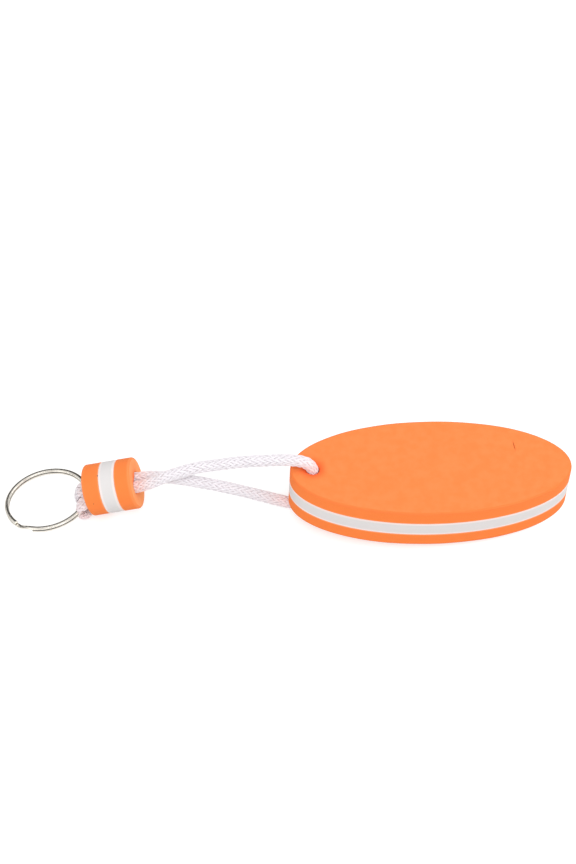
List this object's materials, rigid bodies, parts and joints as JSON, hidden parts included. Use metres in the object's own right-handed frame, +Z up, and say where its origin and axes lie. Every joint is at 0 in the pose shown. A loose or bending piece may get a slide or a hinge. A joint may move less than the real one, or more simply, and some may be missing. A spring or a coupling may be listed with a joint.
{
  "type": "floating keychain",
  "caption": "Floating keychain: oval foam float and foam bead cut from one striped laminate, on a doubled braided cord hitched to a split ring.",
  "frame": {"origin": "on the ground under the middle of the keychain, measured over the float, bead and ring without the cord", "axes": "+X along the keychain from the ring towards the float, +Y across it, +Z up"},
  "size_m": [0.1768, 0.0384, 0.0231],
  "materials": {
    "orange_foam": "matte",
    "white_foam": "matte",
    "white_cord": "braided",
    "nickel": "polished"
  },
  "bodies": {
    "float": {"float_top_layer": "orange_foam", "float_middle_layer": "white_foam", "float_bottom_layer": "orange_foam", "cord": "white_cord"},
    "bead": {"bead_ring_side_layer": "orange_foam", "bead_middle_layer": "white_foam", "bead_float_side_layer": "orange_foam"},
    "ring": {"split_ring": "nickel"}
  },
  "joints": [
    {"name": "bead_slide", "type": "slide", "parent": "float", "child": "bead", "axis": [0.9703, 0, 0.2419], "range_m": [0, 0.01], "deforming": ["cord"]},
    {"name": "ring_swing", "type": "hinge", "parent": "float", "child": "ring", "pos_m": [-0.06235, -0.0019, 0.00462], "axis": [0, 0.9962, -0.0872], "range_deg": [-90, 100], "deforming": ["cord"]}
  ]
}
